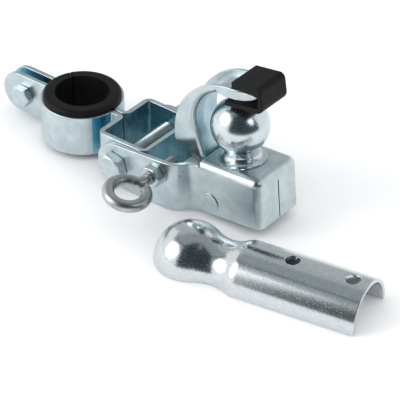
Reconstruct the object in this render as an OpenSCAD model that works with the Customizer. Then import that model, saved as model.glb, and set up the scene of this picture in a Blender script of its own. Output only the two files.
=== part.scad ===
// Bicycle trailer hitch: seat post clamp, towing ball with a sprung latch, and the trailer's coupler shell.
// The seat post stands on the Z axis, the ball lies towards +X, and the bolt heads face -Y.

/* [Seat post clamp] */
// Diameter of the seat post that the bushing takes
post_d = 27.2; // [25.4:0.1:28]
// Inside diameter of the strap's ring
ring_d = 36.5; // [36:0.1:38]
// Thickness of the strap's steel
strap_t = 2.5; // [2:0.1:3]
// Height of the strap
strap_h = 21.5; // [20:0.5:26]
// Slot between the two ears
ear_gap = 4.5; // [3:0.1:6]
// Distance from the seat post's axis to the tips of the ears
ear_reach = 48.4; // [46:0.2:54]
// Inside radius of the bends beside the ring
ring_bend_r = 1; // [0.8:0.1:1.6]
// Slot between the strap's two halves at the waist
waist_gap = 0.6; // [0.4:0.1:1.2]

/* [Clamp box] */
// Distance from the seat post's axis to the box's near wall
box_near = 25.8; // [25.6:0.1:30]
// Distance from the seat post's axis to the outside of the box's far wall
box_far = 56.1; // [54:0.1:60]
// Outside width of the box
box_w = 39.2; // [36:0.2:44]
// Inside radius of the box's corners
box_bend_r = 1.4; // [1:0.1:3]

/* [Bushing] */
// Height of the bushing's flange above the strap
flange_h = 2.9; // [2:0.1:4]
// Diameter of the bushing's flange
flange_d = 39.2; // [38:0.1:41]
// Rounding of the flange's edge
flange_round = 2; // [0.4:0.1:2.4]
// Slit that lets the bushing close on the post
bushing_slit = 0.5; // [0.3:0.1:3]
// Turn of the slit away from the ears
slit_turn = -30; // [-60:5:60]

/* [Carrier] */
// Distance from the seat post's axis to the pivot bolt
pivot_x = 39.8; // [38:0.1:42]
// Height of the pivot bolt above the strap's lower edge
pivot_z = 9.2; // [8:0.1:12]
// Angle at which the carrier stands, its far end up
carrier_tilt = 4.3; // [0:0.1:8]
// Thickness of the carrier's steel
carrier_t = 2.5; // [2:0.1:3]
// Play between the box and each cheek
cheek_play = 0.2; // [0.1:0.05:0.4]
// Length of the ball plate, to the carrier's closed end
plate_len = 35.5; // [34:0.5:40]
// Outside width of the carrier's narrow end
tail_w = 31; // [30:0.2:34]
// Distance from the eyebolt to the start of the step in the cheeks
eye_to_step = 5.1; // [4.6:0.1:8]
// Angle of the step in the cheeks
joggle_angle = 42; // [36:1:46]
// Inside radius of the step's bends
joggle_bend_r = 7; // [5:0.5:8]
// Radius of the cheeks' rounded ends about the pivot bolt
cheek_end_r = 11.2; // [10.5:0.1:12]
// Height of the cheeks' upper edge above the pivot bolt
cheek_top = 11.8; // [11.3:0.1:12.2]
// Depth of the cheeks' belly below the pivot bolt
belly_depth = 13.9; // [13:0.1:15]
// Distance from the pivot bolt to the belly's lowest corner
belly_x = 17; // [15:0.5:20]
// Depth of the closed end below the pivot bolt
tail_depth = 12.8; // [12:0.1:13]
// Height of the ball plate's upper face above the pivot bolt
plate_top = 14; // [13.5:0.1:15]
// Distance from the end of the step in the cheeks to the ball plate
plate_gap = 1.3; // [1:0.1:3]
// Outside radius of the carrier's rounded edges
carrier_round = 4; // [3.5:0.1:4.5]
// Width of the seam in the closed end
seam_w = 0.6; // [0.4:0.1:1]
// Height of the seam's upper end above the pivot bolt
seam_top = 8.3; // [6:0.1:9]

/* [Bolts] */
// Thread diameter of the pivot bolt
pivot_d = 8; // [6:0.1:8]
// Thread diameter of the ear bolt and the eyebolt
small_d = 6; // [5:0.1:6]
// Clearance on the diameter of the holes that a bolt only passes through
bolt_clearance = 0.5; // [0.2:0.1:0.8]
// Radial play of a pin or bolt that something turns on
pivot_play = 0.06; // [0.03:0.01:0.1]
// Height of the ear bolt above the strap's lower edge
ear_bolt_z = 10.75; // [10:0.25:12]
// Distance from the seat post's axis to the ear bolt
ear_bolt_x = 34.6; // [33:0.1:37]

/* [Eyebolt] */
// Distance from the pivot bolt to the eyebolt, along the carrier
eye_x = 26.9; // [24:0.1:30]
// Height of the eyebolt above the pivot bolt
eye_z = 5; // [3:0.1:5.4]
// Inside diameter of the eye
eye_d = 12.3; // [11.6:0.1:14]
// Diameter of the eye's rod
eye_rod_d = 6; // [5:0.1:6.4]
// Distance from the carrier's middle to the centre of the eye
eye_reach = 45; // [43:0.1:47]
// Turn of the eye about the eyebolt's shank
eye_turn = 15.5; // [0:0.5:30]
// Radius of the bend between the shank and the eye
eye_bend_r = 4; // [3.5:0.1:5]

/* [Towing ball] */
// Diameter of the ball
ball_d = 28.6; // [28:0.1:29]
// Distance from the ball plate's near edge to the ball
ball_inset = 14.3; // [13.8:0.1:15]
// Height of the ball's centre above the ball plate
ball_h = 17.7; // [17:0.1:18.5]
// Diameter of the ball's neck
neck_d = 16; // [14:0.1:17]
// Diameter of the ball's foot
foot_d = 25; // [22:0.2:26]
// Thread diameter of the ball's stem
stem_d = 12; // [10:0.5:12]

/* [Latch] */
// Distance from the ball plate's near edge to the latch pin
pin_inset = 4.8; // [4.6:0.1:5.2]
// Depth of the latch pin below the pivot bolt
pin_depth = 7.3; // [7:0.1:7.6]
// Diameter of the latch pin
pin_d = 9; // [8:0.1:9.2]
// Outside width of the latch
latch_w = 19; // [18:0.2:20]
// Thickness of the latch's steel
latch_t = 2; // [1.6:0.1:2.2]
// Distance from the ball's centre to the inner face of the latch
latch_r = 20.5; // [20:0.1:21]
// Slope of the latch's end above the ball
latch_rise = 5.5; // [3:0.5:7]
// Radius of the latch's curved back
back_r = 35.7; // [34:0.1:37]
// Height of the latch's upper edge above the pivot bolt
latch_top = 56.7; // [56.4:0.1:57.4]
// Distance from the ball to the end of the cap's room for the latch
latch_reach = 18.6; // [18:0.1:20]

/* [Latch cap] */
// Overhang of the cap's sides past the latch
cap_side = 0.2; // [0.1:0.1:1]
// Thickness of the cap's upper wall at its end
cap_wall = 5; // [4:0.1:6]
// Thickness of the cap's end wall
cap_end = 2.5; // [2:0.1:4]
// Thickness of the cap's lip
lip_t = 2.7; // [2:0.1:3.2]
// Clearance between the cap's lip and the bare ball
lip_gap = 0.3; // [0.2:0.05:0.6]

/* [Coupler shell] */
// Thickness of the shell's steel
shell_t = 2; // [1.5:0.1:2.2]
// Outside radius of the shell's dome
dome_r = 18; // [17.5:0.1:19]
// Outside radius of the shell's neck
shell_neck_r = 13.6; // [13:0.1:14.5]
// Diameter of the drawbar tube that the half tube lies on
drawbar_d = 30; // [28:0.5:32]
// Length of the shell from the dome's centre to its open end
shell_len = 92; // [90:1:110]
// Depth of the shell's rim below its axis
rim_drop = 1.5; // [0:0.1:2.5]
// Diameter of the shell's bolt holes
shell_hole_d = 7; // [6:0.1:8]
// Distance from the dome's centre to the first bolt hole
shell_hole_x = 52.7; // [48:0.1:56]
// Distance between the two bolt holes
shell_hole_step = 30.6; // [25:0.1:32]
// Distance of the dome's centre from the seat post, along the hitch
shell_x = 106.4; // [100:0.2:140]
// Distance of the dome's centre from the hitch's middle plane
shell_side = 46.4; // [45:0.2:80]
// Angle between the shell and the hitch, seen from above
shell_yaw = 10.1; // [5:0.1:15]

/* [Hidden] */
$fn = 96;

// Colours
zinc = [0.74, 0.79, 0.81];
chrome = [0.82, 0.84, 0.85];
black_plastic = [0.05, 0.05, 0.055];

// Length by which a cutter passes the face that it cuts
past = 1;
// Play between two pieces that are screwed or pressed together
seat_play = 0.02;
// Length of thread that shows past a nut
thread_past = 2;
// Turn of the pivot bolt's hexagons, as they were left
pivot_turn = 12;
// Size of a hexagon's turned end face against its width
end_share = 0.95;
// Step between faces of one piece that would otherwise meet edge-on, such as a sheet's flats and bends
seam = 0.01;
// Length by which a bend runs on into what lies beside it
bend_lap = 0.1;

// Clamp strap
ring_mid_r = (ring_d + strap_t) / 2;
waist_bend_mid_r = ring_bend_r + strap_t / 2;
box_bend_mid_r = box_bend_r + strap_t / 2;
ear_mid_y = (ear_gap + strap_t) / 2;
ear_out_y = ear_gap / 2 + strap_t;
waist_mid_y = (waist_gap + strap_t) / 2;
bend_path_r = ring_mid_r + waist_bend_mid_r;
ear_turn = asin((ear_mid_y + waist_bend_mid_r) / bend_path_r);
waist_turn = asin((waist_mid_y + waist_bend_mid_r) / bend_path_r);
near_wall_x = box_near + strap_t / 2;
far_wall_x = box_far - strap_t / 2;
side_wall_y = (box_w - strap_t) / 2;

// Carrier
cheek_in_y = box_w / 2 + cheek_play;
cheek_out_y = cheek_in_y + carrier_t;
cheek_mid_y = cheek_in_y + carrier_t / 2;
tail_mid_y = (tail_w - carrier_t) / 2;
joggle_mid_r = joggle_bend_r + carrier_t / 2;
joggle_flat = (cheek_mid_y - tail_mid_y - 2 * joggle_mid_r * (1 - cos(joggle_angle))) / sin(joggle_angle);
joggle_len = 2 * joggle_mid_r * sin(joggle_angle) + joggle_flat * cos(joggle_angle);
joggle_start = eye_x + eye_to_step;
plate_near = joggle_start + joggle_len + plate_gap;
carrier_len = plate_near + plate_len;
tail_round_x = carrier_len - carrier_round;
tail_round_y = tail_w / 2 - carrier_round;
tail_round_z = plate_top - carrier_round;
plate_under = plate_top - carrier_t;

// Eyebolt: inner end of its shank, reach of the shank and of the bend into what follows them, and the
// angle at which the rod's free end clears the bend
eye_latch_gap = 0.9;
eye_shank_in = latch_w / 2 + eye_latch_gap;
eye_overlap = 0.8;
eye_lap_angle = 2;
eye_free_end = 62;

// Towing ball
ball_x = plate_near + ball_inset;
ball_z = plate_top + ball_h;
ball_r = ball_d / 2;
ball_nut_top = plate_under - washer_t(stem_d);
ball_nut_low = ball_nut_top - nut_h(stem_d);
stem_tip = ball_nut_low - thread_past / 2;
foot_edge = 0.4;
foot_h = 2.2;
foot_flare_r = 6;
collar_h = 0.6;
collar_out = 0.5;

// Latch
pin_x = plate_near + pin_inset;
pin_at = [pin_x, -pin_depth];
pin_edge = 0.4;
pin_ear_wall = 1.6;
pin_ear_r = pin_d / 2 + pin_ear_wall;
latch_side_y = latch_w / 2;
latch_round = latch_t;
web_gap = 0.6;
web_x = plate_near - web_gap;
web_lean = 18;
web_bend_r = 6;
web_foot = -3.5;
web_arc_z = ball_z - latch_r * sin(web_lean);
web_flat = (web_x - ball_x + latch_r * cos(web_lean) - web_bend_r * (1 - cos(web_lean))) / sin(web_lean);
web_low_z = web_arc_z - web_bend_r * sin(web_lean) - web_flat * cos(web_lean);
nose_start = ball_x + 13;
nose_bend_r = 5;
nose_turn = 45;
top_flat = (nose_start - ball_x + latch_r * sin(latch_rise)) / cos(latch_rise);
nose_z = ball_z + latch_r * cos(latch_rise) + top_flat * sin(latch_rise)
         + nose_bend_r * (cos(latch_rise) - cos(latch_rise + nose_turn));
web_steps = [
    [web_low_z - web_foot, web_bend_r, web_lean],
    [web_flat, latch_r, latch_rise - 90 - web_lean],
    [top_flat, nose_bend_r, nose_turn],
    [(latch_top - nose_z) / sin(latch_rise + nose_turn) + latch_t, nose_bend_r, 0],
];
back_centre = [ball_x + 2.5, latch_top - back_r];
heel = [ball_x - 33, 17.7];
heel_toe = [ball_x - 16.2, 11.5];
ear_top = 5;

// Latch cap: it leans back about its lip's edge, and its room for the latch stands upright
lip_at = [ball_x - 1.1, ball_z + ball_r + lip_gap];
cap_play = 0.1;
cap_slope = 4.4;
cap_front = 5.7;
cap_low_round = 4.5;
cap_high_round = 3;
cap_room = [ball_x + latch_reach + cap_play, latch_top + cap_play] - lip_at;
cap_len = cap_room.x * cos(cap_slope) + cap_room.y * sin(cap_slope) + cap_end;
cap_h = cap_room.y * cos(cap_slope) - cap_room.x * sin(cap_slope) + cap_wall;

// Latch spring
wire_d = 1.2;
spring_play = 0.35;
leg_play = 0.1;
spring_r = pin_d / 2 + spring_play + wire_d / 2;
spring_half = latch_side_y - latch_t - leg_play;
spring_from = -36;
spring_per_turn = 20;
spring_count = 106;
leg_x = web_x - latch_t - leg_play - wire_d / 2;
leg_foot = web_foot - 1.5 * leg_play - wire_d / 2;

// Coupler shell
tube_r = drawbar_d / 2 + shell_t;
neck_curve_r = 18;
flare_curve_r = 10;
neck_at = sqrt(pow(dome_r + neck_curve_r, 2) - pow(shell_neck_r + neck_curve_r, 2));
flare_drop = shell_neck_r + neck_curve_r - tube_r + flare_curve_r;
flare_at = neck_at + sqrt(pow(neck_curve_r + flare_curve_r, 2) - pow(flare_drop, 2));

// Lowest level of the hitch, on which the shell lies too
floor_z = pivot_z + belly_x * sin(carrier_tilt) - belly_depth * cos(carrier_tilt);

// Standard hardware by thread diameter: width across flats, head height, nut height, washer
function across_flats(d) = lookup(d, [[5, 8], [6, 10], [8, 13], [10, 16], [12, 18]]);
function head_h(d) = lookup(d, [[5, 3.5], [6, 4], [8, 5.3], [10, 6.4], [12, 7.5]]);
function nut_h(d) = lookup(d, [[5, 4], [6, 5], [8, 6.5], [10, 8], [12, 10]]);
function washer_d(d) = lookup(d, [[5, 10], [6, 12], [8, 16], [10, 18.1], [12, 21.1]]);
function washer_t(d) = lookup(d, [[5, 1], [6, 1.6], [8, 1.6], [10, 2], [12, 2.5]]);

// Point where a line from p all but touches the circle of radius r about c, on one side of it or the other
function touch(p, c, r, side) =
    let (away = p - c, in = r - seam, a = atan2(away.y, away.x) + side * acos(in / norm(away)))
    c + in * [cos(a), sin(a)];

// Moves its children round a bend, to the left for a positive angle
module turned(r, a) {
    translate([0, sign(a) * r, 0])
        rotate(a)
            translate([0, -sign(a) * r, 0])
                children();
}

// Moves its children to the end of a path of [flat length, bend radius, bend angle] steps
module at_end(steps, i = 0) {
    if (i < len(steps))
        translate([steps[i][0], 0, 0])
            turned(steps[i][1], steps[i][2])
                at_end(steps, i + 1)
                    children();
    else
        children();
}

// Sweeps profiles along such a path, with x to the left of it and y up: the first child along the flats,
// and the second, a little thinner, round the bends, but for one that may be full because no flat lies beside it
module fold(steps, full_bend = -1) {
    for (i = [0 : len(steps) - 1]) {
        flat = steps[i][0];
        r = steps[i][1];
        a = steps[i][2];
        profile = i == full_bend ? 0 : 1;
        more = i == full_bend ? 0 : 2 * asin(bend_lap / (2 * r));
        at_end([for (k = [0 : 1 : i - 1]) steps[k]]) {
            if (flat > 0)
                rotate([90, 0, 90])
                    linear_extrude(flat)
                        children(0);
            if (a > 0)
                translate([flat, r, 0])
                    rotate(-90 - more)
                        rotate_extrude(angle = a + 2 * more)
                            translate([r, 0])
                                mirror([1, 0])
                                    children(profile);
            if (a < 0)
                translate([flat, -r, 0])
                    rotate(90 + a - more)
                        rotate_extrude(angle = 2 * more - a)
                            translate([r, 0])
                                children(profile);
        }
    }
}

// A strip of sheet on edge along a path through its middle
module strip(steps, t, low, high, full_bend = -1) {
    fold(steps, full_bend) {
        translate([-t / 2, low])
            square([t, high - low]);
        translate([seam - t / 2, low])
            square([t - 2 * seam, high - low]);
    }
}

// Draws its children on both sides of the middle plane
module both_sides() {
    children();
    mirror([0, 1, 0])
        children();
}

// Lays a drawing made in x and y into the middle plane, and gives it a width
module across(width) {
    translate([0, width / 2, 0])
        rotate([90, 0, 0])
            linear_extrude(width)
                children();
}

// Carries its children into the carrier's place, from the pivot bolt
module on_carrier() {
    translate([pivot_x, 0, pivot_z])
        rotate([0, -carrier_tilt, 0])
            children();
}

// A bolt's hole or shank along Y, at x and z
module cross_rod(x, z, r, from, to) {
    translate([x, from, z])
        rotate([-90, 0, 0])
            cylinder(r = r, h = to - from);
}

// Hexagon with its corners turned off at the far end, and at the near end too if both is true
module hexagon(d, h, both) {
    flat_r = across_flats(d) / 2;
    corner_r = flat_r / cos(30);
    turned_r = end_share * flat_r;
    drop = (corner_r - turned_r) * tan(30);
    near = both ? drop : 0;
    intersection() {
        cylinder(r = corner_r, h = h, $fn = 6);
        rotate_extrude()
            polygon([[0, 0], [both ? turned_r : corner_r, 0], [corner_r, near], [corner_r, h - drop],
                     [turned_r, h], [0, h]]);
    }
}

// Hexagon bolt along +Y from under its head, turned by an angle about its axis
module bolt(d, length, turn = 0) {
    point = d / 10;
    rotate([-90, turn, 0]) {
        mirror([0, 0, 1])
            hexagon(d, head_h(d), false);
        cylinder(d = d, h = length - point);
        translate([0, 0, length - point])
            cylinder(d1 = d, d2 = d - 2 * point, h = point);
    }
}

module nut(d, turn = 0) {
    rotate([-90, turn, 0])
        difference() {
            hexagon(d, nut_h(d), true);
            translate([0, 0, -past])
                cylinder(r = d / 2 + seat_play, h = nut_h(d) + 2 * past);
        }
}

module washer(d) {
    rotate([-90, 0, 0])
        difference() {
            cylinder(d = washer_d(d), h = washer_t(d));
            translate([0, 0, -past])
                cylinder(d = d + bolt_clearance, h = washer_t(d) + 2 * past);
        }
}

// One half of the strap, from the ear to the box's far wall
module half_strap() {
    steps = [
        [ear_reach - bend_path_r * cos(ear_turn), waist_bend_mid_r, ear_turn - 90],
        [0, ring_mid_r, 180 - ear_turn - waist_turn],
        [0, waist_bend_mid_r, waist_turn - 90],
        [near_wall_x - waist_bend_mid_r - bend_path_r * cos(waist_turn), waist_bend_mid_r, -90],
        [side_wall_y - box_bend_mid_r - waist_mid_y - waist_bend_mid_r, box_bend_mid_r, 90],
        [far_wall_x - near_wall_x - 2 * box_bend_mid_r, box_bend_mid_r, 90],
    ];
    translate([-ear_reach, -ear_mid_y, 0])
        strip(steps, strap_t, -past, strap_h + past, full_bend = 1);
}

module clamp_strap() {
    tip_r = strap_h / 2;
    color(zinc)
        difference() {
            intersection() {
                union() {
                    both_sides()
                        half_strap();
                    translate([far_wall_x - strap_t / 2, box_bend_mid_r - side_wall_y, -past])
                        cube([strap_t, 2 * (side_wall_y - box_bend_mid_r), strap_h + 2 * past]);
                }
                translate([-ear_reach, -box_w, 0])
                    cube([ear_reach + box_far, 2 * box_w, strap_h]);
            }
            across(2 * (ear_out_y + past))
                difference() {
                    translate([-ear_reach - past, -past])
                        square([tip_r + past, strap_h + 2 * past]);
                    translate([-ear_reach + tip_r, strap_h / 2])
                        circle(tip_r);
                }
            cross_rod(-ear_bolt_x, ear_bolt_z, (small_d + bolt_clearance) / 2, -ear_out_y - past, ear_out_y + past);
            cross_rod(pivot_x, pivot_z, (pivot_d + bolt_clearance) / 2, -box_w, box_w);
        }
}

module bushing() {
    top = strap_h + flange_h;
    color(black_plastic)
        difference() {
            rotate_extrude() {
                translate([post_d / 2, 0])
                    square([ring_d / 2 - seat_play - post_d / 2, top - flange_round]);
                translate([post_d / 2, strap_h])
                    square([(flange_d - post_d) / 2, flange_h - flange_round]);
                translate([post_d / 2, strap_h])
                    square([(flange_d - post_d) / 2 - flange_round, flange_h]);
                intersection() {
                    translate([flange_d / 2 - flange_round, top - flange_round])
                        circle(flange_round);
                    translate([post_d / 2, strap_h])
                        square([flange_d / 2, flange_h]);
                }
            }
            rotate(slit_turn)
                translate([-flange_d, -bushing_slit / 2, -past])
                    cube([flange_d, bushing_slit, top + 2 * past]);
        }
}

module ear_bolt() {
    color(zinc)
        translate([-ear_bolt_x, -ear_out_y, ear_bolt_z])
            bolt(small_d, 2 * ear_out_y + nut_h(small_d) + thread_past);
}

module ear_nut() {
    color(zinc)
        translate([-ear_bolt_x, ear_out_y, ear_bolt_z])
            nut(small_d);
}

// Side view of the cheeks, seen along Y
module cheek_outline() {
    belly = [belly_x, -belly_depth];
    top_corner = [carrier_len, cheek_top];
    circle(cheek_end_r);
    polygon([touch(top_corner, [0, 0], cheek_end_r, 1), touch(belly, [0, 0], cheek_end_r, -1), belly,
             [carrier_len + past, -tail_depth], [carrier_len + past, cheek_top], top_corner]);
}

module half_cheeks() {
    steps = [
        [cheek_end_r + joggle_start, joggle_mid_r, joggle_angle],
        [joggle_flat, joggle_mid_r, -joggle_angle],
        [tail_round_x - joggle_start - joggle_len, carrier_round - carrier_t / 2, 90],
    ];
    translate([-cheek_end_r, -cheek_mid_y, 0])
        strip(steps, carrier_t, -belly_depth - past, cheek_top);
}

// Quarter of a bent sheet's section, as wide as the carrier's rounded edge
module round_section(less, from) {
    intersection() {
        difference() {
            circle(carrier_round - less);
            circle(carrier_round - carrier_t + less);
        }
        translate(from)
            square(2 * carrier_round);
    }
}

// Ball plate with its rounded edges and corners
module ball_plate() {
    translate([plate_near, -tail_round_y, plate_under])
        cube([tail_round_x - plate_near, 2 * tail_round_y, carrier_t]);
    translate([tail_round_x, tail_round_y, tail_round_z])
        rotate([90, 0, 0])
            linear_extrude(2 * tail_round_y)
                round_section(seam, [-bend_lap, -bend_lap]);
    both_sides() {
        translate([plate_near, tail_round_y, tail_round_z])
            rotate([90, 0, 90])
                linear_extrude(tail_round_x - plate_near)
                    round_section(seam, [-bend_lap, -bend_lap]);
        translate([tail_round_x, tail_round_y, tail_round_z])
            rotate_extrude(angle = 90)
                round_section(2 * seam, [0, -bend_lap]);
    }
}

module carrier() {
    color(zinc)
        on_carrier()
            difference() {
                union() {
                    difference() {
                        intersection() {
                            union() {
                                both_sides()
                                    half_cheeks();
                                translate([carrier_len - carrier_t, -tail_round_y, -belly_depth])
                                    cube([carrier_t, 2 * tail_round_y, belly_depth + cheek_top]);
                            }
                            across(2 * cheek_out_y + 2 * past)
                                cheek_outline();
                        }
                        translate([plate_near, -tail_w, tail_round_z])
                            cube([carrier_len, 2 * tail_w, carrier_round]);
                    }
                    ball_plate();
                }
                translate([tail_round_x, -seam_w / 2, -belly_depth - past])
                    cube([carrier_round + past, seam_w, belly_depth + past + seam_top]);
                cross_rod(0, 0, pivot_d / 2 + pivot_play, -cheek_out_y - past, cheek_out_y + past);
                cross_rod(eye_x, eye_z, small_d / 2 + seat_play, -cheek_out_y - past, 0);
                cross_rod(pin_x, -pin_depth, pin_d / 2 + seat_play, -tail_w, tail_w);
                translate([ball_x, 0, plate_under - past])
                    cylinder(r = stem_d / 2 + seat_play, h = carrier_t + 2 * past);
            }
}

module pivot_bolt() {
    color(zinc)
        translate([pivot_x, -cheek_out_y, pivot_z])
            bolt(pivot_d, 2 * cheek_out_y + washer_t(pivot_d) + nut_h(pivot_d) + thread_past, pivot_turn);
}

module pivot_washer() {
    color(zinc)
        translate([pivot_x, cheek_out_y, pivot_z])
            washer(pivot_d);
}

module pivot_nut() {
    color(zinc)
        translate([pivot_x, cheek_out_y + washer_t(pivot_d), pivot_z])
            nut(pivot_d, pivot_turn);
}

module eyebolt() {
    rod_r = eye_rod_d / 2;
    ring_mid = (eye_d + eye_rod_d) / 2;
    bend_y = sqrt(pow(ring_mid + eye_bend_r, 2) - pow(eye_bend_r, 2));
    join = atan2(bend_y, eye_bend_r);
    color(zinc)
        on_carrier()
            translate([eye_x, -eye_reach, eye_z])
                rotate([0, eye_turn, 0]) {
                    cross_rod(0, 0, small_d / 2, bend_y - eye_overlap, eye_reach - eye_shank_in);
                    translate([-eye_bend_r, bend_y, 0])
                        rotate(-join - eye_lap_angle)
                            rotate_extrude(angle = join + eye_lap_angle)
                                translate([eye_bend_r, 0])
                                    circle(rod_r - seat_play);
                    rotate(180 - join)
                        rotate_extrude(angle = 180 + join + eye_free_end)
                            translate([ring_mid, 0])
                                circle(rod_r);
                }
}

module eye_nut() {
    color(zinc)
        on_carrier()
            translate([eye_x, -cheek_out_y - washer_t(small_d) - nut_h(small_d), eye_z])
                nut(small_d);
}

module eye_washer() {
    color(zinc)
        on_carrier()
            translate([eye_x, -cheek_out_y - washer_t(small_d), eye_z])
                washer(small_d);
}

module ball() {
    neck_r = neck_d / 2;
    color(chrome)
        on_carrier()
            translate([ball_x, 0, plate_top]) {
                rotate_extrude()
                    intersection() {
                        union() {
                            translate([0, ball_h])
                                circle(ball_r);
                            square([neck_r, ball_h]);
                            square([neck_r + collar_out, foot_h + collar_h]);
                            difference() {
                                square([foot_d / 2, foot_h]);
                                translate([foot_d / 2, foot_edge + foot_flare_r])
                                    circle(foot_flare_r);
                            }
                        }
                        square([foot_d, ball_h + ball_r]);
                    }
                translate([0, 0, stem_tip - plate_top])
                    cylinder(d = stem_d, h = plate_top - stem_tip);
            }
}

module ball_washer() {
    color(zinc)
        on_carrier()
            translate([ball_x, 0, ball_nut_top])
                rotate([90, 0, 0])
                    washer(stem_d);
}

module ball_nut() {
    color(zinc)
        on_carrier()
            translate([ball_x, 0, ball_nut_low])
                rotate([90, 0, 0])
                    nut(stem_d);
}

module latch_pin() {
    color(zinc)
        on_carrier() {
            cross_rod(pin_x, -pin_depth, pin_d / 2, pin_edge - tail_w / 2, tail_w / 2 - pin_edge);
            both_sides()
                translate([pin_x, tail_w / 2 - pin_edge, -pin_depth])
                    rotate([-90, 0, 0])
                        cylinder(d1 = pin_d, d2 = pin_d - 2 * pin_edge, h = pin_edge);
        }
}

// Section of the latch's web, with its face towards the ball on the path and that face's edges rounded
module web_section(less) {
    intersection() {
        union() {
            translate([less, latch_round - latch_side_y])
                square([latch_t, latch_w - 2 * latch_round]);
            for (side = [-1, 1])
                translate([latch_round, side * (latch_side_y - latch_round)])
                    circle(latch_round - less);
        }
        translate([0, -latch_side_y])
            square([latch_t - less, latch_w]);
    }
}

// Side view of one flange: the curved back and the straight upper edge, less what lies on the ball's side
module flange_outline() {
    inside = latch_t - 4 * seam;
    reach = 2 * latch_r;
    difference() {
        intersection() {
            union() {
                translate(back_centre)
                    circle(back_r);
                translate([back_centre.x, latch_top - back_r])
                    square([nose_start - back_centre.x, back_r]);
            }
            polygon([heel, heel_toe, [ball_x, ball_z], [nose_start, ball_z + latch_r], [nose_start, latch_top],
                     [heel.x - past, latch_top], [heel.x - past, heel.y]]);
        }
        translate([ball_x, ball_z])
            circle(latch_r + inside);
        translate([web_x, web_foot])
            rotate(90)
                for (i = [1, 2])
                    at_end([for (k = [0 : i - 1]) web_steps[k]])
                        translate([i == 1 ? -past : 0, inside - seam - reach])
                            square([web_steps[i][0] + past, reach]);
    }
}

// Side view of the ears that hold the pin
module pin_ear_outline() {
    near_top = [web_x - latch_t, ear_top];
    far_top = [web_x + latch_t / 2, ear_top];
    foot = [web_x - latch_t, web_foot];
    translate(pin_at)
        circle(pin_ear_r);
    polygon([near_top, foot, touch(foot, pin_at, pin_ear_r, 1), pin_at, touch(far_top, pin_at, pin_ear_r, -1),
             far_top]);
}

module latch_yoke() {
    color(zinc)
        on_carrier()
            difference() {
                union() {
                    translate([web_x, 0, web_foot])
                        rotate([90, 0, 0])
                            rotate(90)
                                fold(web_steps) {
                                    web_section(seam);
                                    web_section(2 * seam);
                                }
                    both_sides()
                        translate([0, (latch_t - latch_w) / 2, 0]) {
                            across(latch_t)
                                flange_outline();
                            across(latch_t)
                                pin_ear_outline();
                        }
                }
                cross_rod(pin_x, -pin_depth, pin_d / 2 + pivot_play, -latch_w, latch_w);
                translate([nose_start - past, -latch_w, latch_top])
                    cube([latch_r, 2 * latch_w, latch_r]);
            }
}

// Takes the corner off a drawing, for a rounded corner of radius r at the origin that opens to -x and +y
module corner(r) {
    difference() {
        translate([-r, -past])
            square([r + past, r + past]);
        translate([-r, r])
            circle(r);
    }
}

module latch_cap() {
    color(black_plastic)
        on_carrier()
            across(latch_w + 2 * cap_side)
                translate(lip_at)
                    rotate(cap_slope)
                        difference() {
                            square([cap_len, cap_h]);
                            intersection() {
                                rotate(-cap_slope)
                                    translate([-cap_front, 0])
                                        square(cap_room + [cap_front, 0]);
                                translate([-past, lip_t])
                                    square([cap_len + past, cap_h]);
                            }
                            translate([-past, lip_t])
                                square([cap_front + past, cap_h]);
                            translate([cap_len, 0])
                                corner(cap_low_round);
                            translate([cap_len, cap_h])
                                mirror([0, 1])
                                    corner(cap_high_round);
                        }
}

// Round wire along a list of points, whose rings stand on the plane square to the run of the wire
module wire(points, r, sides) {
    last = len(points) - 1;
    rings = [for (i = [0 : last])
        let (run = points[min(i + 1, last)] - points[max(i - 1, 0)],
             ahead = run / norm(run),
             out = cross(ahead, [0, 1, 0]) / norm(cross(ahead, [0, 1, 0])),
             aside = cross(ahead, out))
        for (k = [0 : sides - 1]) points[i] + r * (cos(360 * k / sides) * out + sin(360 * k / sides) * aside)];
    skin = [for (i = [0 : last - 1], k = [0 : sides - 1])
        let (a = i * sides + k, b = i * sides + (k + 1) % sides)
        [a, b, b + sides, a + sides]];
    ends = [[for (k = [sides - 1 : -1 : 0]) k], [for (k = [0 : sides - 1]) last * sides + k]];
    polyhedron(rings, concat(skin, ends), convexity = 4);
}

module latch_spring() {
    step = 2 * (spring_half - wire_d / 2) / spring_count;
    coil = [for (i = [0 : spring_count])
        let (a = spring_from - 360 * i / spring_per_turn)
        [pin_x + spring_r * cos(a), i * step - spring_half + wire_d / 2, spring_r * sin(a) - pin_depth]];
    fixed_leg_len = (ball_nut_low - wire_d / 2 - leg_play - coil[0].z) / cos(spring_from);
    fixed_leg = [coil[0] + fixed_leg_len * [-sin(spring_from), 0, cos(spring_from)]];
    moving_leg = [for (z = [leg_foot, ear_top]) [leg_x, spring_half - wire_d / 2, z]];
    color(zinc)
        on_carrier()
            wire(concat(fixed_leg, coil, moving_leg), wire_d / 2, 8);
}

// Section of the shell from its axis outwards, with the dome's centre at the origin and the tube towards +y
module shell_section(inset, end) {
    neck_centre = [shell_neck_r + neck_curve_r, neck_at];
    flare_centre = [tube_r - flare_curve_r, flare_at];
    dome_touch = (dome_r / (dome_r + neck_curve_r)) * neck_centre;
    flare_touch = neck_centre + (flare_centre - neck_centre) * neck_curve_r / (neck_curve_r + flare_curve_r);
    intersection() {
        union() {
            circle(dome_r - inset);
            difference() {
                polygon([[0, 0], dome_touch, neck_centre, flare_touch, flare_centre, [0, flare_at]]);
                translate(neck_centre)
                    circle(neck_curve_r + inset + seam);
            }
            translate(flare_centre)
                circle(flare_curve_r - inset);
            translate([0, flare_at])
                square([tube_r - inset, end - flare_at]);
        }
        translate([0, -dome_r])
            square([2 * dome_r, dome_r + end]);
    }
}

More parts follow.
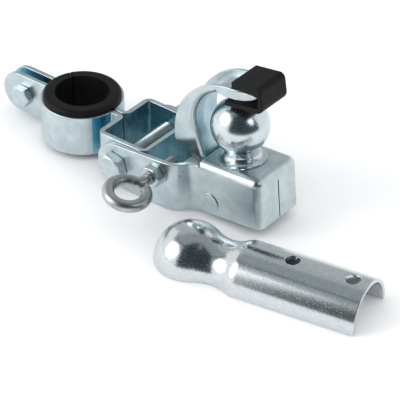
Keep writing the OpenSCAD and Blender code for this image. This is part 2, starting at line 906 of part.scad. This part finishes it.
module coupler_shell() {
    color(chrome)
        translate([shell_x, -shell_side, floor_z + rim_drop])
            rotate(shell_yaw)
                difference() {
                    rotate([0, 90, 0])
                        rotate_extrude()
                            shell_section(0, shell_len);
                    rotate([0, 90, 0])
                        rotate_extrude()
                            shell_section(shell_t, shell_len + past);
                    translate([-2 * dome_r, -2 * dome_r, -4 * dome_r - rim_drop])
                        cube([shell_len + 4 * dome_r, 4 * dome_r, 4 * dome_r]);
                    for (i = [0, 1])
                        translate([shell_hole_x + i * shell_hole_step, 0, 0])
                            cylinder(d = shell_hole_d, h = 2 * tube_r);
                }
}

clamp_strap();
bushing();
ear_bolt();
ear_nut();
carrier();
pivot_bolt();
pivot_washer();
pivot_nut();
eyebolt();
eye_nut();
eye_washer();
ball();
ball_washer();
ball_nut();
latch_pin();
latch_yoke();
latch_cap();
latch_spring();
coupler_shell();
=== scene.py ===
import math
import bpy
from mathutils import Matrix, Vector


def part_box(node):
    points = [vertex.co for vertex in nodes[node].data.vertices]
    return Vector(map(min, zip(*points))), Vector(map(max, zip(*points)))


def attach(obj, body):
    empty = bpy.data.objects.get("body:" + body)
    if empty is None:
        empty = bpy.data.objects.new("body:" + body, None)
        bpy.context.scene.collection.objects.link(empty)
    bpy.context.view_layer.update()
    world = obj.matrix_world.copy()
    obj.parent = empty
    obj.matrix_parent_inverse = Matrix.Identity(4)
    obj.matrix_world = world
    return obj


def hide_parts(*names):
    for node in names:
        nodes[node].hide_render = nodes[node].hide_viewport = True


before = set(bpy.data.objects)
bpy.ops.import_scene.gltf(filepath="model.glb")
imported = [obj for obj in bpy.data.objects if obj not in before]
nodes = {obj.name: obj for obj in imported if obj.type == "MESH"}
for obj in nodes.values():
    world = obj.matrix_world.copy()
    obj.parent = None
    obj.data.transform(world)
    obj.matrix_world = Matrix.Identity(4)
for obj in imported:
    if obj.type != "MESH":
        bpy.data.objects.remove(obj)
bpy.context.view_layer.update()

scene = bpy.context.scene
print("frame loaded:", len(nodes), "nodes")

mm = 0.001
alongY = (math.pi / 2, 0, 0)    # turns Z to -Y
bodyOf = {name: body for body, names in {
    "clamp": ["clamp_strap", "bushing", "ear_bolt", "ear_nut", "pivot_bolt", "pivot_washer", "pivot_nut",
              "coupler_shell"],
    "carrier": ["carrier", "eyebolt", "eye_nut", "eye_washer", "ball", "ball_washer", "ball_nut",
                "latch_pin", "latch_spring"],
    "latch": ["latch_yoke", "latch_cap"],
}.items() for name in names}

# The carrier stands with its ball end up, turned about the pivot bolt
carrierTilt = math.radians(4.3)


# Camera: found from the photograph, looking down on the hitch from the eyebolt's side

shot = {
    "place": (0.7481, -0.8445, 0.7540),
    "right": (0.7817, 0.6236, 0.0),
    "forward": (-0.5094, 0.6385, -0.5768),
    "lens": 244.44,
    "sensor": 36.0,
    "clip": (0.05, 20),
}


def makeCamera():
    data = bpy.data.cameras.new("photoCamera")
    data.lens = shot["lens"]
    data.sensor_width = shot["sensor"]
    data.sensor_fit = "HORIZONTAL"
    data.clip_start, data.clip_end = shot["clip"]
    camera = bpy.data.objects.new("photoCamera", data)
    scene.collection.objects.link(camera)
    right = Vector(shot["right"]).normalized()
    back = -Vector(shot["forward"]).normalized()
    up = back.cross(right).normalized()
    turn = Matrix((right, up, back)).transposed().to_4x4()
    camera.matrix_world = Matrix.Translation(shot["place"]) @ turn
    scene.camera = camera


makeCamera()
print("camera set")


# Shader maths: sockets that add and multiply like numbers

class Socket:
    def __init__(self, tree, socket):
        self.tree = tree
        self.socket = socket

    def feed(self, kind, inputs, **settings):
        node = self.tree.nodes.new(kind)
        for name, value in settings.items():
            setattr(node, name, value)
        for name, value in inputs.items():
            if isinstance(value, Socket):
                self.tree.links.new(value.socket, node.inputs[name])
            else:
                node.inputs[name].default_value = value
        return Socket(self.tree, node.outputs[0])

    def into(self, node, name):
        self.tree.links.new(self.socket, node.inputs[name])

    def maths(self, operation, other):
        return self.feed("ShaderNodeMath", {0: self, 1: other}, operation=operation)

    def __add__(self, other):
        return self.maths("ADD", other)

    def __sub__(self, other):
        return self.maths("SUBTRACT", other)

    def __mul__(self, other):
        return self.maths("MULTIPLY", other)

    def limited(self):
        return self.feed("ShaderNodeClamp", {"Value": self})

    # 0 below one value and 1 above another, with a smooth step between them
    def step(self, low, high):
        return self.feed("ShaderNodeMapRange", {"Value": self, "From Min": low, "From Max": high},
                         interpolation_type="SMOOTHSTEP")

    def noise(self, scale, detail, roughness):
        return self.feed("ShaderNodeTexNoise", {"Vector": self, "Scale": scale, "Detail": detail,
                                                "Roughness": roughness})

    def stretched(self, scale, turn=(0, 0, 0)):
        return self.feed("ShaderNodeMapping", {"Vector": self, "Scale": scale, "Rotation": turn})

    # A mix of two colours. The node has its colour sockets behind those for numbers and vectors
    def colours(self, first, second):
        firstInput, secondInput, output = 6, 7, 2
        node = self.tree.nodes.new("ShaderNodeMix")
        node.data_type = "RGBA"
        self.into(node, "Factor")
        node.inputs[firstInput].default_value = (*first, 1)
        node.inputs[secondInput].default_value = (*second, 1)
        return Socket(self.tree, node.outputs[output])


def newMaterial(name):
    material = bpy.data.materials.new(name)
    material.use_nodes = True
    tree = material.node_tree
    shader = tree.nodes["Principled BSDF"]
    coords = Socket(tree, tree.nodes.new("ShaderNodeTexCoord").outputs["Object"])
    return material, shader, coords


def addBump(shader, height, strength, distance):
    bump = height.feed("ShaderNodeBump", {"Height": height, "Strength": strength, "Distance": distance})
    bump.into(shader, "Normal")


# Zinc plate: bright, pale blue, with cloudy spots, rolling grain along the sheet and stray scratches.
# Each noise has its detail and roughness, and each pair of edges says where a smooth step starts and ends

zincLook = {
    "pale": (0.62, 0.70, 0.72),
    "deep": (0.46, 0.54, 0.565),
    "cloudScale": 130,
    "cloudStretch": (1, 1, 1),
    "cloudNoise": (5, 0.62),
    "cloudEdges": (0.3, 0.7),
    "cloudTone": 0.75,
    "cloudBump": 0.8,
    "grainScale": 1400,
    "grainStretch": (0.05, 1.0, 1.0),
    "grainNoise": (3, 0.6),
    "grainTone": 0.25,
    "grainBump": 0.6,
    "scratchScale": 700,
    "scratchStretch": (0.03, 1.0, 0.6),
    "scratchNoise": (2, 0.5),
    "scratchEdges": (0.66, 0.74),
    "scratchRoughness": 0.12,
    "scratchBump": 0.5,
    "roughness": 0.16,
    "roughnessSpread": 0.16,
    "bump": 0.10,
    "bumpDepth": 0.00005,
    "turn": (0, 0, 0),
}


def zincMaterial(name, look):
    material, shader, coords = newMaterial(name)
    cloud = coords.stretched(look["cloudStretch"]).noise(look["cloudScale"], *look["cloudNoise"])
    grain = coords.stretched(look["grainStretch"], look["turn"])
    grain = grain.noise(look["grainScale"], *look["grainNoise"])
    scratch = coords.stretched(look["scratchStretch"], look["turn"])
    scratch = scratch.noise(look["scratchScale"], *look["scratchNoise"]).step(*look["scratchEdges"])
    tone = (cloud.step(*look["cloudEdges"]) * look["cloudTone"] + grain * look["grainTone"]).limited()
    tone.colours(look["pale"], look["deep"]).into(shader, "Base Color")
    shader.inputs["Metallic"].default_value = 1.0
    spread = look["roughnessSpread"]
    rough = cloud * spread + grain * spread + scratch * look["scratchRoughness"]
    (rough + look["roughness"]).into(shader, "Roughness")
    height = grain * look["grainBump"] + cloud * look["cloudBump"] - scratch * look["scratchBump"]
    addBump(shader, height, look["bump"], look["bumpDepth"])
    return material


# Small hardware has its grain turned and finer clouds, and the eyebolt is greyer than the sheet

hardwareTint = {"cloudScale": 260, "roughness": 0.14, "turn": (0, 0.4, 1.2)}
steelTint = {
    "pale": (0.53, 0.54, 0.53),
    "deep": (0.37, 0.38, 0.375),
    "roughness": 0.2,
    "turn": (0, 0.4, 1.2),
}

# Painted shade: the plate is bluer and darker, in upright streaks, on faces that look at one another, where
# shade falls between the walls

paintedShadeTint = {
    "pale": (0.38, 0.63, 0.70),
    "deep": (0.12, 0.37, 0.50),
    "cloudScale": 110,
    "cloudStretch": (1, 1, 0.25),
    "roughness": 0.12,
}
# Painted shade for the latch's faces that look at a wall or at the ball
paintedShadeLatchTint = {
    "pale": (0.58, 0.70, 0.73),
    "deep": (0.26, 0.45, 0.54),
    "cloudScale": 150,
    "cloudStretch": (1, 0.7, 0.2),
    "roughness": 0.12,
}


# Chrome: nearly a mirror, but rolled and polished by hand, so that reflections break up into specks,
# which are drawn out along the coupler shell's tube

chromeLook = {
    "pale": (0.70, 0.735, 0.755),
    "deep": (0.54, 0.57, 0.595),
    "waveScale": 260,
    "waveNoise": (3, 0.5),
    "waveBump": 0.7,
    "speckScale": 1700,
    "speckNoise": (4, 0.7),
    "speckEdges": (0.35, 0.75),
    "speckBump": 0.5,
    "pitScale": 3200,
    "pitNoise": (2, 0.6),
    "pitEdges": (0.58, 0.68),
    "pitRoughness": 0.2,
    "roughness": 0.1,
    "roughnessSpread": 0.12,
    "bump": 0.09,
    "bumpDepth": 0.00008,
    "stretch": (1, 1, 1),
    "turn": (0, 0, 0),
}
ballTint = {
    "pale": (0.66, 0.735, 0.755),
    "deep": (0.52, 0.60, 0.63),
    "bump": 0.03,
    "pitRoughness": 0.12,
    "roughness": 0.15,
}
shellTint = {
    "roughness": 0.13,
    "bump": 0.13,
    "stretch": (0.35, 1, 1),
    "turn": (0, 0, math.radians(-10.1)),
}


def chromeMaterial(name, look):
    material, shader, coords = newMaterial(name)
    along = coords.stretched(look["stretch"], look["turn"])
    wave = along.noise(look["waveScale"], *look["waveNoise"])
    speck = along.noise(look["speckScale"], *look["speckNoise"])
    speck.step(*look["speckEdges"]).colours(look["pale"], look["deep"]).into(shader, "Base Color")
    shader.inputs["Metallic"].default_value = 1.0
    pits = along.noise(look["pitScale"], *look["pitNoise"]).step(*look["pitEdges"])
    rough = speck * look["roughnessSpread"] + pits * look["pitRoughness"]
    (rough + look["roughness"]).into(shader, "Roughness")
    addBump(shader, wave * look["waveBump"] + speck * look["speckBump"], look["bump"], look["bumpDepth"])
    return material


# Black plastic: matte and slightly grained, a little greyer where the grain stands up

plasticLook = {
    "pale": (0.009, 0.009, 0.0095),
    "deep": (0.003, 0.003, 0.0035),
    "cloudScale": 90,
    "cloudNoise": (3, 0.5),
    "cloudTone": 0.5,
    "grainScale": 2600,
    "grainNoise": (2, 0.6),
    "grainTone": 0.5,
    "toneEdges": (0.35, 0.65),
    "specular": 0.17,
    "roughness": 0.42,
    "roughnessSpread": 0.2,
    "bump": 0.35,
    "bumpDepth": 0.00006,
}


def plasticMaterial(name, look):
    material, shader, coords = newMaterial(name)
    grain = coords.noise(look["grainScale"], *look["grainNoise"])
    cloud = coords.noise(look["cloudScale"], *look["cloudNoise"])
    tone = (grain * look["grainTone"] + cloud * look["cloudTone"]).step(*look["toneEdges"])
    tone.colours(look["deep"], look["pale"]).into(shader, "Base Color")
    shader.inputs["Specular IOR Level"].default_value = look["specular"]
    (grain * look["roughnessSpread"] + look["roughness"]).into(shader, "Roughness")
    addBump(shader, grain, look["bump"], look["bumpDepth"])
    return material


materials = {
    "sheet": zincMaterial("zincSheet", zincLook),
    "hardware": zincMaterial("zincHardware", {**zincLook, **hardwareTint}),
    # The next two are the plate with painted shade, for faces that look at a wall
    "inside": zincMaterial("zincPaintedShade", {**zincLook, **paintedShadeTint}),
    "latchPaintedShade": zincMaterial("zincLatchPaintedShade", {**zincLook, **paintedShadeLatchTint}),
    "steel": zincMaterial("bareSteel", {**zincLook, **steelTint}),
    "ball": chromeMaterial("chromeBall", {**chromeLook, **ballTint}),
    "shell": chromeMaterial("chromeShell", {**chromeLook, **shellTint}),
    "plastic": plasticMaterial("blackPlastic", plasticLook),
}
print("materials made:", len(materials))


# Modelling helpers. Sizes are in millimetres and degrees. A normal's weight of 50 counts large and small
# faces alike, as round pieces need, and 80 keeps the large flat faces flat

mending = {"merge": 0.015, "flat": 0.4, "narrow": 0.04, "flatWeight": 80, "roundWeight": 50}
# Round pieces keep their triangles, and so does the shell, whose rim is open at one end
keptTriangles = ["coupler_shell", "eyebolt", "ball"]


def middleOf(name):
    low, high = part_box(name)
    return [(a + b) / 2 for a, b in zip(low, high)]


def only(piece):
    bpy.ops.object.select_all(action="DESELECT")
    piece.select_set(True)
    bpy.context.view_layer.objects.active = piece


def editAll(piece):
    only(piece)
    bpy.ops.object.mode_set(mode="EDIT")
    bpy.ops.mesh.select_all(action="SELECT")


def applied(piece, kind, **settings):
    only(piece)
    modifier = piece.modifiers.new(kind.title(), kind)
    for name, value in settings.items():
        setattr(modifier, name, value)
    bpy.ops.object.modifier_apply(modifier=modifier.name)


# Closes the holes of up to some sides, and turns all normals outwards
def turnOutwards(piece, sides=0):
    editAll(piece)
    if sides:
        bpy.ops.mesh.fill_holes(sides=sides)
    bpy.ops.mesh.normals_make_consistent(inside=False)
    bpy.ops.object.mode_set(mode="OBJECT")


# An outline through some corners
def outlineOf(corners, fill="NOTHING"):
    bpy.ops.object.select_all(action="DESELECT")
    bpy.ops.mesh.primitive_circle_add(vertices=len(corners), radius=mm, fill_type=fill)
    outline = bpy.context.object
    for vertex, corner in zip(outline.data.vertices, corners):
        vertex.co = corner
    return outline


def combine(piece, operation, other):
    applied(piece, "BOOLEAN", operation=operation, object=other, solver="EXACT")
    bpy.data.objects.remove(other)


# Cuts a piece with a cutter that was made round Z at the origin
def cutWith(piece, cutter, place, turn):
    cutter.rotation_euler = turn
    cutter.location = place
    bpy.ops.object.transform_apply(location=True, rotation=True, scale=True)
    combine(piece, "DIFFERENCE", cutter)


# A merged copy of a CAD node, whose flat faces are whole again
def mergedCopy(name):
    piece = bpy.data.objects.new(name.title().replace("_", "") + "Dressed", nodes[name].data.copy())
    scene.collection.objects.link(piece)
    merge = mending["merge"] * mm
    editAll(piece)
    bpy.ops.mesh.remove_doubles(threshold=merge)
    bpy.ops.mesh.dissolve_degenerate(threshold=merge)
    if name not in keptTriangles:
        bpy.ops.mesh.dissolve_limited(angle_limit=math.radians(mending["flat"]))
    bpy.ops.object.mode_set(mode="OBJECT")
    return piece


# Faces too narrow to see, left where the CAD node's flats and bends meet
def narrowFaces(mesh):
    width = mending["narrow"] * mm

    def length(key):
        return (mesh.vertices[key[0]].co - mesh.vertices[key[1]].co).length

    return {face.index for face in mesh.polygons if face.area < width * max(map(length, face.edge_keys))}


def facesOfEdges(mesh):
    beside = {}
    for face in mesh.polygons:
        for key in face.edge_keys:
            beside.setdefault(key, []).append(face.index)
    return beside


# Gives a bevel weight of 1 to the corners between faces wide enough to see that turn by more than an angle
def weighCorners(mesh, sharp):
    narrow = narrowFaces(mesh)
    beside = facesOfEdges(mesh)
    weights = mesh.attributes.new("bevel_weight_edge", "FLOAT", "EDGE")
    for edge in mesh.edges:
        faces = beside[edge.key]
        if len(faces) == 2 and not narrow.intersection(faces):
            turn = mesh.polygons[faces[0]].normal.angle(mesh.polygons[faces[1]].normal, 0)
            weights.data[edge.index].value = 1.0 if turn > math.radians(sharp) else 0.0


def shadeSmooth(piece, sharp):
    only(piece)
    bpy.ops.object.shade_smooth_by_angle(angle=math.radians(sharp))


# Smooth shading that narrow faces leave no line in
def smoothed(piece, sharp, weight=mending["flatWeight"]):
    shadeSmooth(piece, sharp)
    mesh = piece.data
    narrow = narrowFaces(mesh)
    beside = facesOfEdges(mesh)
    for edge in mesh.edges:
        if narrow.intersection(beside[edge.key]):
            edge.use_edge_sharp = False
    applied(piece, "WEIGHTED_NORMAL", keep_sharp=True, weight=weight)


def rounded(piece, width, segments, sharp):
    weighCorners(piece.data, sharp)
    applied(piece, "BEVEL", width=width * mm, segments=segments, limit_method="WEIGHT",
            use_clamp_overlap=False, miter_outer="MITER_ARC")
    smoothed(piece, sharp)


def finished(piece, name, material):
    piece.data.materials.clear()
    piece.data.materials.append(materials[material])
    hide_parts(name)
    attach(piece, bodyOf[name])
    return piece


# Faces inside a fold look at a wall and get painted shade: how far off it may be, how far off the face the
# look starts, how squarely the wall looks back, and how far the face may lean

paintedShadeFaces = {"reach": 45, "clear": 0.5, "facing": -0.3, "upright": 0.8}


# Gives such faces of some pieces their material with painted shade
def paintShadeBetweenWalls(pieces, size):
    bpy.context.view_layer.update()
    for piece, walls, material in pieces:
        piece.data.materials.append(materials[material])
        for face in piece.data.polygons:
            start = face.center + face.normal * size["clear"] * mm
            for wall in walls:
                found, _, normal, _ = wall.ray_cast(start, face.normal, distance=size["reach"] * mm)
                opposite = found and normal.dot(face.normal) < size["facing"]
                if opposite and abs(face.normal.z) < size["upright"]:
                    face.material_index = 1


# The leaf-shaped ends of the latch's flanges, which run out to a point inside the cap.
# The outline has its distances along the carrier and up from the pivot bolt

leaf = {
    "outline": [(53.5, 53.8), (57.5, 51.7), (61.2, 51.1), (67, 51.5), (71.8, 52.4), (76.5, 54.0),
                (80.1, 56.3), (75, 57.6), (67.4, 56.9), (56.0, 55.2)],
    "outer": 9.48,
    "thickness": 1.9,
}


def addLeaves(piece, size):
    sine, cosine = math.sin(carrierTilt), math.cos(carrierTilt)
    pivot = middleOf("pivot_bolt")
    for side in (-1, 1):
        y = side * (size["outer"] - size["thickness"] / 2) * mm
        corners = [(pivot[0] + (u * cosine - w * sine) * mm, y, pivot[2] + (u * sine + w * cosine) * mm)
                   for u, w in size["outline"]]
        plate = outlineOf(corners, "NGON")
        applied(plate, "SOLIDIFY", thickness=size["thickness"] * mm, offset=0)
        turnOutwards(plate)
        combine(piece, "UNION", plate)


# Pieces that only need their edges rounded: node, rounding, segments, sharpest smooth edge, material, slot

dressed = [
    ("clamp_strap", 0.35, 3, 32, "sheet", "zinc_steel"),
    ("carrier", 0.35, 3, 32, "sheet", "zinc_steel"),
    ("latch_yoke", 0.3, 3, 32, "sheet", "zinc_steel"),
    ("coupler_shell", 0.3, 3, 32, "shell", "chrome"),
    ("bushing", 0.25, 3, 32, "plastic", "black_plastic"),
    ("latch_cap", 0.8, 4, 32, "plastic", "black_plastic"),
    ("pivot_washer", 0.2, 2, 32, "hardware", "zinc_steel"),
    ("eye_washer", 0.2, 2, 32, "hardware", "zinc_steel"),
    ("ball_washer", 0.2, 2, 32, "hardware", "zinc_steel"),
]


def dressPlainPieces():
    pieces = {}
    for name, width, segments, sharp, material, slot in dressed:
        piece = mergedCopy(name)
        if name == "latch_yoke":
            addLeaves(piece, leaf)
        rounded(piece, width, segments, sharp)
        pieces[name] = finished(piece, name, material)
    strap, carrier, yoke = sheets = [pieces[name] for name in ("clamp_strap", "carrier", "latch_yoke")]
    # Faces that look at a wall, and the latch's faces that look at the ball, get painted shade
    paintShadeBetweenWalls([(strap, sheets, "inside"), (carrier, sheets, "inside"),
                (yoke, sheets + [nodes["ball"]], "latchPaintedShade")], paintedShadeFaces)


dressPlainPieces()
print("plain pieces dressed:", len(dressed))


# The latch pin is riveted over to a low round head on the eyebolt's side

pinHead = {
    "radius": 5.6,
    "height": 0.55,
    "sunk": 0.05,
    "sides": 72,
    "edge": 0.45,
    "edgeSegments": 4,
    "edgeAngle": 60,
    "smooth": 32,
}


def dressPin(size):
    low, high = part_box("latch_pin")
    x, z = (low[0] + high[0]) / 2, (low[2] + high[2]) / 2
    depth = (size["height"] + size["sunk"]) * mm
    place = (x, low[1] - size["height"] * mm + depth / 2, z)
    bpy.ops.object.select_all(action="DESELECT")
    bpy.ops.mesh.primitive_cylinder_add(vertices=size["sides"], radius=size["radius"] * mm, depth=depth,
                                        location=place, rotation=alongY)
    head = bpy.context.object
    bpy.ops.object.transform_apply(location=True, rotation=True, scale=True)
    applied(head, "BEVEL", width=size["edge"] * mm, segments=size["edgeSegments"], limit_method="ANGLE",
            angle_limit=math.radians(size["edgeAngle"]))
    piece = mergedCopy("latch_pin")
    combine(piece, "UNION", head)
    smoothed(piece, size["smooth"])
    finished(piece, "latch_pin", "hardware")


dressPin(pinHead)
print("pin dressed")


# Threads are cut with a wedge that runs round the bolt like the turning tool. Depth and width are
# shares of the pitch, and the wedge reaches a little past the bolt

thread = {"steps": 36, "depthShare": 0.72, "widthShare": 0.94, "past": 0.25}


def threadCutter(radius, pitch, length):
    depth = thread["depthShare"] * pitch
    over = thread["past"] * mm
    half = thread["widthShare"] * pitch / 2 * (depth + over) / depth
    cutter = outlineOf([(radius - depth, 0, 0), (radius + over, 0, half), (radius + over, 0, -half)])
    applied(cutter, "SCREW", axis="Z", screw_offset=pitch, iterations=math.ceil(length / pitch),
            steps=thread["steps"], render_steps=thread["steps"], use_merge_vertices=False)
    turnOutwards(cutter, sides=3)
    return cutter


# Cuts a thread of a size round an axis that starts at a place and runs along a direction
def cutThread(piece, size, start, direction):
    cutter = threadCutter(size["radius"] * mm, size["pitch"] * mm, size["length"] * mm)
    cutWith(piece, cutter, start, Vector(direction).to_track_quat("Z", "Y").to_euler())


# A groove under a bolt's head leaves the round face that the head bears on. Its radii are shares of
# half the width across flats, and its cutter starts a quarter of its width off that face

headGroove = {"width": 0.4, "innerShare": 0.93, "outerShare": 1.25, "steps": 72, "merge": 0.001}


def cutGroove(piece, flats, under, size):
    inner, outer = (size[share] * flats / 2 * mm for share in ("innerShare", "outerShare"))
    width = size["width"] * mm
    start = -width / 4
    cutter = outlineOf([(inner, 0, start), (outer, 0, start), (outer, 0, width), (inner, 0, width)])
    applied(cutter, "SCREW", axis="Z", screw_offset=0, steps=size["steps"], render_steps=size["steps"],
            use_merge_vertices=True, merge_threshold=size["merge"] * mm)
    turnOutwards(cutter)
    cutWith(piece, cutter, under, alongY)


# Screws: the thread's radius, pitch, start along Y and length, the head's height and width across flats

screws = {
    "pivot_bolt": {"radius": 4, "pitch": 1.25, "start": -11.0, "length": 40, "head": 5.3, "flats": 13},
    "ear_bolt": {"radius": 3, "pitch": 1.0, "start": 3.0, "length": 20, "head": 4, "flats": 10},
}
screwSmooth = 14


def dressScrews():
    for name, size in screws.items():
        piece = mergedCopy(name)
        x, y, z = middleOf(name)
        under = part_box(name)[0][1] + size["head"] * mm
        cutGroove(piece, size["flats"], (x, under, z), headGroove)
        cutThread(piece, size, (x, size["start"] * mm, z), (0, 1, 0))
        shadeSmooth(piece, screwSmooth)
        finished(piece, name, "hardware")


dressScrews()

eyeShank = {"radius": 3, "pitch": 1.0, "start": -30.5, "length": 21, "smooth": 50}


def dressEyebolt(size):
    piece = mergedCopy("eyebolt")
    x, y, z = middleOf("eye_nut")
    cutThread(piece, size, (x, size["start"] * mm, z), (0, 1, 0))
    smoothed(piece, size["smooth"], mending["roundWeight"])
    finished(piece, "eyebolt", "steel")


dressEyebolt(eyeShank)

stem = {"radius": 6, "pitch": 1.75, "length": 16, "smooth": 35}


def dressBall(size):
    piece = mergedCopy("ball")
    down = (math.sin(carrierTilt), 0, -math.cos(carrierTilt))
    cutThread(piece, size, middleOf("ball_nut"), down)
    smoothed(piece, size["smooth"], mending["roundWeight"])
    finished(piece, "ball", "ball")


dressBall(stem)

nutEdges = {"width": 0.12, "segments": 2, "sharp": 25}


def dressNuts(size):
    for name in ("ear_nut", "pivot_nut", "eye_nut", "ball_nut"):
        piece = mergedCopy(name)
        rounded(piece, size["width"], size["segments"], size["sharp"])
        finished(piece, name, "hardware")


dressNuts(nutEdges)
print("screws and nuts dressed")

springSmooth = 50


def dressSpring():
    spring = nodes["latch_spring"]
    spring.data.materials.clear()
    spring.data.materials.append(materials["hardware"])
    shadeSmooth(spring, springSmooth)


dressSpring()
print("spring dressed")


# Studio: a pale floor, two soft lamps, and cards that are only seen in reflections, which stand for a grey
# ceiling, the dim room behind the camera, a narrow dark strip at its left, and a grey wall at the back.
# A place round the part has its azimuth, elevation and distance

studio = {
    "aim": (0.085, -0.01, 0.02),
    "floorLevel": -0.00345,
    "floorSize": (8.0, 8.0),
    "floorColour": (0.93, 0.94, 0.95),
    "floorRoughness": 0.9,
    "ceilingSize": (3.0, 3.0),
    "ceilingLevel": 1.5,
    "ceilingColour": (0.33, 0.37, 0.39),
    "roomColour": (0.035, 0.05, 0.058),
    "backSize": (1.0, 1.2),
    "backPlace": (128, 36, 0.9),
    "backColour": (0.53, 0.56, 0.57),
    "worldColour": (1, 1, 1),
    "worldLevel": 1.0,
}
# Upright cards: name, azimuth, distance, width, height
uprightCards = [
    ("room", -38, 0.31, 1.3, 1.0),
    ("flag", -107, 0.42, 0.13, 1.5),
]
# Lamps: name, azimuth, elevation, distance, width and height, power
lamps = [
    ("leftLamp", -129, 29, 1.3, (0.85, 0.95), 6.5),
    ("rightLamp", -2, 39, 0.40, (0.14, 0.25), 0.14),
]
aim = Vector(studio["aim"])


def glowMaterial(name, colour):
    material = bpy.data.materials.new(name)
    material.use_nodes = True
    tree = material.node_tree
    tree.nodes.clear()
    glow = tree.nodes.new("ShaderNodeEmission")
    glow.inputs["Color"].default_value = (*colour, 1)
    output = tree.nodes.new("ShaderNodeOutputMaterial")
    tree.links.new(glow.outputs[0], output.inputs["Surface"])
    return material


# A card is either seen by every ray or only in reflections
def addCard(name, size, place, facing, material, everywhere=False):
    bpy.ops.object.select_all(action="DESELECT")
    bpy.ops.mesh.primitive_plane_add(size=1)
    card = bpy.context.object
    card.name = name
    card.scale = (*size, 1)
    card.rotation_euler = Vector(facing).to_track_quat("Z", "Y").to_euler()
    card.location = place
    bpy.ops.object.transform_apply(location=True, rotation=True, scale=True)
    card.data.materials.append(material)
    for ray in ("camera", "diffuse", "transmission", "volume_scatter", "shadow"):
        setattr(card, "visible_" + ray, everywhere)


def directionOf(azimuth, elevation):
    a, e = math.radians(azimuth), math.radians(elevation)
    return Vector((math.cos(a) * math.cos(e), math.sin(a) * math.cos(e), math.sin(e)))


def around(azimuth, elevation, distance):
    return aim + distance * directionOf(azimuth, elevation)


def makeFloor():
    material = bpy.data.materials.new("paleFloor")
    material.use_nodes = True
    shader = material.node_tree.nodes["Principled BSDF"]
    shader.inputs["Base Color"].default_value = (*studio["floorColour"], 1)
    shader.inputs["Roughness"].default_value = studio["floorRoughness"]
    shader.inputs["Specular IOR Level"].default_value = 0.0
    addCard("floor", studio["floorSize"], (0, 0, studio["floorLevel"]), (0, 0, 1), material, everywhere=True)


def makeReflections():
    addCard("ceiling", studio["ceilingSize"], (aim.x, aim.y, studio["ceilingLevel"]), (0, 0, -1),
            glowMaterial("greyCeiling", studio["ceilingColour"]))
    for name, azimuth, away, wide, high in uprightCards:
        middle = around(azimuth, 0, away)
        middle.z = studio["floorLevel"] + high / 2
        addCard(name, (high, wide), middle, directionOf(azimuth + 180, 0),
                glowMaterial(name + "Glow", studio["roomColour"]))
    back = around(*studio["backPlace"])
    addCard("back", studio["backSize"], back, aim - back, glowMaterial("backGlow", studio["backColour"]))


def makeLamps():
    for name, azimuth, elevation, distance, size, power in lamps:
        data = bpy.data.lights.new(name, "AREA")
        data.shape = "ELLIPSE"
        data.size, data.size_y = size
        data.energy = power
        lamp = bpy.data.objects.new(name, data)
        scene.collection.objects.link(lamp)
        lamp.location = around(azimuth, elevation, distance)
        lamp.rotation_euler = (aim - lamp.location).to_track_quat("-Z", "Y").to_euler()


def makeWorld():
    world = bpy.data.worlds.new("studioWorld")
    scene.world = world
    world.use_nodes = True
    background = world.node_tree.nodes["Background"]
    background.inputs["Color"].default_value = (*studio["worldColour"], 1)
    background.inputs["Strength"].default_value = studio["worldLevel"]


makeFloor()
makeReflections()
makeLamps()
makeWorld()
scene.view_settings.view_transform = "Standard"
print("studio set")
